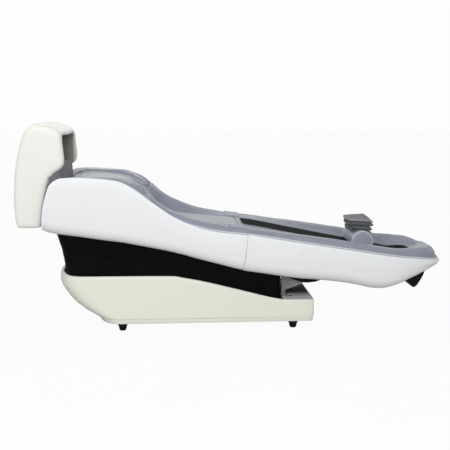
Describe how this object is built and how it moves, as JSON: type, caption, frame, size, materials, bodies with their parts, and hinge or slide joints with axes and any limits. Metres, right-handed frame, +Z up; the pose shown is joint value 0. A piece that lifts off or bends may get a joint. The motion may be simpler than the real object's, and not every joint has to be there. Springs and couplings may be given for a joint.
{
  "type": "reclining shampoo couch",
  "caption": "Reclining hair-washing and treatment couch with a tall head hood, grey padded body, side rails, calf bolster, and a tilting lift base wrapped in a black cloth skirt.",
  "frame": {"origin": "middle of the overall footprint at floor level", "axes": "+Z up, +X towards the user's feet, +Y towards the user's left-hand side"},
  "size_m": [2.1501, 0.6454, 1.0046],
  "materials": {
    "cream_shell": "moulded plastic, warm cream, soft gloss",
    "white_shell": "moulded plastic, cool white, soft gloss",
    "grey_leather": "synthetic leather, slate grey, fine grain",
    "seat_leather": "synthetic leather, light slate grey, fine grain",
    "collar_fabric": "pleated water-repellent fabric, grey",
    "black_mesh": "black spacer mesh",
    "black_cloth": "black woven cloth",
    "black_rubber": "black rubber",
    "steel_tube": "powder-coated steel",
    "painted_steel": "powder-coated steel, light grey",
    "bright_steel": "ground steel",
    "plywood": "birch plywood",
    "black_plastic": "black moulded plastic"
  },
  "bodies": {
    "base": {"base_cover": "cream_shell", "base_plinth": "cream_shell", "base_deck": "cream_shell", "base_frame": "steel_tube", "foot_rear_right": "black_rubber", "foot_rear_left": "black_rubber", "foot_front_right": "black_rubber", "foot_front_left": "black_rubber", "pivot_bracket_right": "painted_steel", "pivot_bracket_left": "painted_steel", "pivot_shaft": "bright_steel", "control_box": "black_plastic", "power_supply": "painted_steel", "power_inlet": "black_plastic", "actuator_base_bracket": "painted_steel", "actuator_lower_pin": "bright_steel", "lift_skirt": "black_cloth"},
    "actuator_body": {"actuator_tube": "black_plastic", "actuator_motor": "black_plastic"},
    "actuator_ram": {"actuator_rod": "bright_steel"},
    "couch": {"couch_frame": "steel_tube", "actuator_couch_bracket": "painted_steel", "actuator_upper_pin": "bright_steel", "pivot_plate_right": "painted_steel", "pivot_plate_left": "painted_steel", "underside_pan": "black_plastic", "back_deck": "plywood", "leg_deck": "plywood", "back_panel_right": "white_shell", "back_panel_left": "white_shell", "leg_shell": "white_shell", "foot_bumper": "black_rubber", "head_end_panel": "grey_leather", "back_cushion": "grey_leather", "seat_pad": "seat_leather", "shoulder_wing_right": "grey_leather", "shoulder_wing_left": "grey_leather", "seat_rail_right": "grey_leather", "seat_rail_left": "grey_leather", "leg_rail_right": "grey_leather", "leg_rail_left": "grey_leather", "foot_end_roll": "grey_leather", "joint_cover_right": "seat_leather", "joint_cover_left": "seat_leather", "leg_pad": "grey_leather", "mesh_panel": "black_mesh", "hood_shell": "cream_shell", "hood_bracket_right": "steel_tube", "hood_bracket_left": "steel_tube", "basin": "cream_shell", "drain_fitting": "black_plastic", "drain_hose": "black_rubber", "water_valve": "black_plastic", "neck_collar": "collar_fabric", "spray_boss_right": "black_plastic", "spray_boss_left": "black_plastic"},
    "calf_rest": {"bolster": "grey_leather", "folded_cover": "seat_leather"},
    "spray": {"spray_arm": "white_shell"}
  },
  "joints": [
    {"name": "couch_tilt", "type": "hinge", "parent": "base", "child": "couch", "pos_m": [0.262, 0, 0.125], "axis": [0, 1, 0], "range_deg": [-7, 2], "deforming": ["lift_skirt"]},
    {"name": "actuator_swing", "type": "hinge", "parent": "base", "child": "actuator_body", "pos_m": [-0.02, 0, 0.11], "axis": [0, 1, 0], "range_deg": [-9.7, 2.9]},
    {"name": "actuator_extend", "type": "slide", "parent": "actuator_body", "child": "actuator_ram", "axis": [-0.774, 0, 0.6332], "range_m": [-0.02, 0.006]},
    {"name": "bolster_slide", "type": "slide", "parent": "couch", "child": "calf_rest", "axis": [0.9796, 0, -0.2008], "range_m": [-0.3, 0.11]},
    {"name": "spray_arm_swing", "type": "hinge", "parent": "couch", "child": "spray", "pos_m": [-0.942, 0, 0.8], "axis": [0, 1, 0], "range_deg": [-36, 60]}
  ],
  "couplings": [
    {"joint": "actuator_swing", "follows": "couch_tilt", "ratio": 1.365},
    {"joint": "actuator_extend", "follows": "couch_tilt", "m_per_rad": 0.16}
  ]
}
